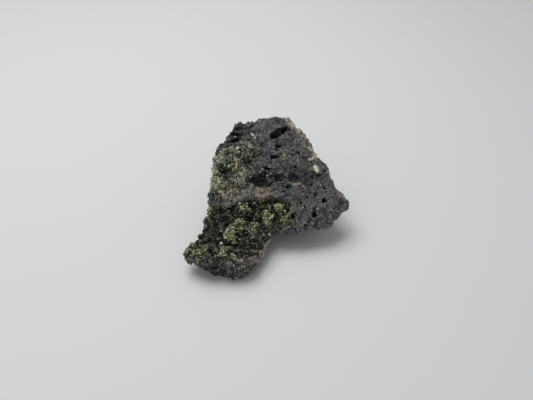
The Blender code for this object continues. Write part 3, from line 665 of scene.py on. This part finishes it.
# Dark cracks, pits, the hollow and the shadow under the upper lump: more black crystals, and painted shade.
PATCH_DARKS = [
    (-19.8, 9.8, 3.2, 1.3), (-17.0, 9.4, 2.4, 1.3), (-8.6, 14.6, 1.5, 1.3), (-6.4, 15.6, 1.2, 1.3),
    (-11.2, 13.8, 1.3, 1.1), (-7.4, 18.6, 0.9, 1.1), (-10.6, 17.2, 0.9, 1.1), (-13.2, 18.0, 0.9, 1.0),
    (-14.4, 9.4, 1.6, 0.6), (-11.6, 21.6, 0.7, 0.9), (-9.0, 22.2, 0.7, 0.9), (-7.6, 19.6, 0.7, 0.9),
    (-10.2, 18.4, 0.7, 0.9), (-12.2, 19.2, 0.7, 0.9), (-9.8, 20.4, 0.6, 0.9), (-14.0, 21.8, 0.8, 0.7),
    (-21.6, 13.4, 0.8, 0.7), (-18.4, 15.6, 0.8, 0.6), (-12.8, 5.6, 0.8, 0.6), (-20.6, 3.4, 0.9, 0.6),
    (-17.6, 7.6, 0.8, 0.5),
]
PATCH_ACCENTS = [
    (-17.0, 3.4, 3.4, (0.20, 0.17, 0.12)), (-20.0, 5.5, 5.0, (0.30, 0.31, 0.20)),
    (-16.0, 12.8, 2.0, (0.62, 0.54, 0.14)), (-13.3, 15.3, 1.7, (0.54, 0.47, 0.14)),
    (-17.0, -1.2, 3.6, (0.37, 0.32, 0.20)), (-16.1, 1.2, 2.7, (0.48, 0.38, 0.25)),
    (-13.7, 0.4, 2.0, (0.46, 0.36, 0.25)), (-20.2, -0.4, 1.8, (0.40, 0.35, 0.20)),
    (-6.9, 20.1, 0.5, (0.22, 0.10, 0.08)),
]
WEATHERED = {
    "glassy": (0.36, 0.08, [(0.41, 0.43, 0.27), (0.32, 0.34, 0.20), (0.58, 0.59, 0.47)]),
    "olive": (0.60, 0.56, [(0.245, 0.25, 0.18), (0.18, 0.185, 0.135), (0.34, 0.345, 0.26), (0.12, 0.125, 0.09)]),
    "dark": (0.04, 0.36, [(0.02, 0.02, 0.018), (0.045, 0.045, 0.042), (0.08, 0.08, 0.07)]),
}
PATCH_SIZES = ((0.55, 0.8, 0.15), (0.35, 0.5, 0.6), (0.22, 0.32, 1.0))
PATCH_TOP = 19.0 * MM  # no crystals spill on to the lava behind this line

patch_bed, points, outward, glow, height = bed_of(
    "peridot_patch", "patch_bed", PATCH_CLUMPS, lift=0.9, lumps=(3.6, 3.0), sink=0.9)
lit = glow * 0.6 + height * 0.4 + 0.5  # much of it is part glassy, outside the clumps too
left = np.clip((-16 - points[:, 0] / MM + SHIFT[0]) / 8, 0, 1)  # and brighten over 8 mm towards the left edge: painted light on the side that faces left
# the height terms here and in lit paint light on the lumps and shade in the dips
shade = 1.44 + height * 0.6 + 1.05 * left
rim = [index for index in spilled(points, reach=4.0 * MM, share=0.45, chance=chance)
       if skin[index][1] < PATCH_TOP]
points, outward, lit, shade = with_rim(points, outward, lit, shade, rim, rim_lit=0.3, rim_shade=0.7)
# the dark places: more black crystals, and painted shade on the rest
darks = glow_of(points, PATCH_DARKS)
lit = np.clip(lit - darks, 0, 1)
shade = np.clip(shade - 0.9 * darks, 0.2, 2.2)
olive = crust(points, outward, lit, shade, WEATHERED, PATCH_ACCENTS, PATCH_SIZES, chance)
for group, finish in FINISHES.items():
    piece = joined("patch_" + group, crystal_shapes, olive[group], chance)
    piece.data.materials.append(finish)
    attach(piece, "root")
    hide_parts("peridot_patch")

patch_bed.data.materials.append(bed_finish("weathered bed", (0.02, 0.02, 0.018), (0.10, 0.10, 0.075), 0.7))
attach(patch_bed, "root")
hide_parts("peridot_patch")

# ---------------------------------------------------------------- small grains in the lava
# Pale, rusty, olive and black grains stand in the broken lava all round, most of them finer than a pinhead, with
# a few larger ones on the broad face.

# The weight and tint of each kind of speck, then larger grains as (x, y, radius, tint) on the layout grid.
SPECKS = {
    "pale": (0.36, (0.31, 0.305, 0.295)), "cream": (0.12, (0.36, 0.325, 0.26)), "rust": (0.08, (0.16, 0.11, 0.08)),
    "olive": (0.14, (0.16, 0.165, 0.11)), "black": (0.26, (0.015, 0.015, 0.017)),
}
SPECK_COUNT = 2300
SPECK_RADII = (0.16, 0.36)  # mm
LARGER = [
    (-6.6, 25.8, 0.74, (0.88, 0.84, 0.76)), (-5.8, 24.5, 0.5, (0.58, 0.46, 0.36)),
    (8.6, 15.4, 0.5, (0.36, 0.34, 0.18)), (9.4, 14.4, 0.45, (0.42, 0.38, 0.24)),
    (8.0, 13.8, 0.4, (0.36, 0.34, 0.18)), (17.0, 24.0, 0.55, (0.50, 0.43, 0.27)),
    (20.6, 14.6, 0.8, (0.40, 0.39, 0.37)), (21.8, 15.6, 0.6, (0.42, 0.40, 0.38)),
    (24.0, -7.2, 0.4, (0.52, 0.47, 0.28)), (16.9, -5.8, 0.38, (0.42, 0.40, 0.24)),
    (13.9, -7.4, 0.4, (0.20, 0.09, 0.07)), (-4.8, 25.9, 0.35, (0.42, 0.40, 0.37)),
]
GREYS = [(0.26, 0.26, 0.265), (0.15, 0.155, 0.165), (0.035, 0.035, 0.040), (0.30, 0.30, 0.30), (0.08, 0.08, 0.085)]
BROWNS = [(0.22, 0.19, 0.165), (0.13, 0.115, 0.10), (0.035, 0.032, 0.030), (0.34, 0.30, 0.25), (0.07, 0.062, 0.055)]
# Places that are thick with grains: centre and half-sizes, the share of points that carry one, radii and tints.
THICK = (
    ((-4.0, 14.5, 28.5), (8.5, 12.0, 6.0), 0.07, (0.22, 0.46), GREYS),
    ((-9.0, -32.0, 5.0), (9.0, 6.0, 6.0), 0.10, (0.20, 0.42), BROWNS),
)


def clear(point, low):
    """Whether a grain here is clear of the floor and doesn't widen the stone."""
    return point[2] > low * MM and abs(point[1]) < 36.8 * MM


grains = []
names = list(SPECKS)
for index in chance.sample(range(len(skin)), SPECK_COUNT):
    tint = SPECKS[chance.choices(names, [SPECKS[name][0] for name in names])[0]][1]
    if clear(skin[index], low=1.5):
        grains.append((skin[index], chance.uniform(*SPECK_RADII) * MM, tint))
for centre, halves, share, radii, tints in THICK:
    for index in np.flatnonzero(near(skin, centre, halves) > 0.05):
        if chance.random() < share and clear(skin[index], low=1.0):
            grains.append((skin[index], chance.uniform(*radii) * MM, chance.choice(tints)))
for x, y, radius, tint in LARGER:
    spot = (np.array((x, y)) + SHIFT[:2]) * MM
    over = np.flatnonzero(np.hypot(*(skin[:, :2] - spot).T) < 0.5 * MM)
    highest = over[skin[over, 2].argmax()]
    grains.append((skin[highest] + np.array(FACE_UP) * 0.5 * radius * MM, radius * MM, tint))
basalt_grains = joined("basalt_grains", crystal_shapes, grains, chance)
basalt_grains.data.materials.append(FINISHES["olive"])
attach(basalt_grains, "root")
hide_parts("basalt_matrix")

# ---------------------------------------------------------------- cream grain
# One waxy cream crystal as long as a rice grain, frozen into the right-hand ridge: worn round, with brown stains
# and a cracked face.

SLENDER = np.array((0.84, 1.04, 0.95))  # the crystal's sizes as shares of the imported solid's
cream = copy_of("cream_grain", "cream_crystal")
grown = vectors(cream.data.vertices, "co")
middle = grown.mean(axis=0)
place(cream, middle + (grown - middle) * SLENDER)
applied(cream, "REMESH", mode="VOXEL", voxel_size=0.16 * MM)
applied(cream, "SMOOTH", factor=0.5, iterations=3)
applied(cream, "DISPLACE", texture=relief("chipped", 1.3 * MM, noise_depth=1), strength=0.7 * MM, mid_level=0.5)
applied(cream, "DISPLACE", texture=relief("pitted", 0.5 * MM, noise_depth=1), strength=0.2 * MM, mid_level=0.5)
wax = Finish("cream crystal")
milky = wax.mix(wax.band(wax.noise(1.1 * MM, 4, 0.6), 0.38, 0.62), (0.50, 0.38, 0.24), (0.90, 0.81, 0.60))
milky = wax.mix(wax.band(wax.noise(0.8 * MM, 3), 0.60, 0.68, 0, 0.8), milky, (0.80, 0.78, 0.72))
milky = wax.mix(wax.band(wax.noise(1.4 * MM, 4), 0.40, 0.34), milky, (0.14, 0.10, 0.06))
cream.data.materials.append(wax.finish(Base_Color=milky, Roughness=0.42, Subsurface_Weight=0.1,
                                       Normal=wax.bump(wax.noise(0.3 * MM, 3), 0.05 * MM)))
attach(cream, "root")
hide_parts("cream_grain")

# ---------------------------------------------------------------- light box
# A white light box: a pale floor, a broad soft lamp above and behind, a small bright one for the sparkle of the
# crystals, and the camera.

bpy.ops.object.select_all(action="DESELECT")
bpy.ops.mesh.primitive_plane_add(size=6, location=(0, 0, 0))
floor = bpy.context.object
floor.name = "floor"
paper = Finish("paper")
floor.data.materials.append(paper.finish(Base_Color=(0.73, 0.735, 0.74), Roughness=0.9))

camera = bpy.data.objects.new("camera", bpy.data.cameras.new("camera"))
bpy.context.scene.collection.objects.link(camera)
target = Vector((0, 0, 18)) * MM + Vector(SHIFT) * MM  # the middle of the broad face
elevation = math.radians(45)
distance = 240  # mm
half_view = math.radians(27.5)  # half the angle of view across
camera.location = target + Vector((0, -math.cos(elevation), math.sin(elevation))) * distance * MM
camera.rotation_euler = (math.radians(90) - elevation, 0, 0)
camera.data.sensor_width = 36
camera.data.lens = camera.data.sensor_width / 2 / math.tan(half_view)
camera.data.clip_start = 0.01
bpy.context.scene.camera = camera

bpy.context.scene.view_settings.view_transform = "Standard"
world = bpy.data.worlds.new("light box")
world.use_nodes = True
world.node_tree.nodes["Background"].inputs["Color"].default_value = (1, 1, 1, 1)
world.node_tree.nodes["Background"].inputs["Strength"].default_value = 0.35
bpy.context.scene.world = world
for name, spot, size, power in (
    ("softbox", (-0.16, 0.14, 0.60), 0.42, 2.5),
    ("sparkle", (-0.10, 0.02, 0.45), 0.02, 0.07),
):
    lamp = bpy.data.objects.new(name, bpy.data.lights.new(name, "AREA"))
    bpy.context.scene.collection.objects.link(lamp)
    lamp.data.size = size
    lamp.data.energy = power
    lamp.location = spot
    lamp.rotation_euler = (-Vector(spot)).to_track_quat("-Z", "Y").to_euler()
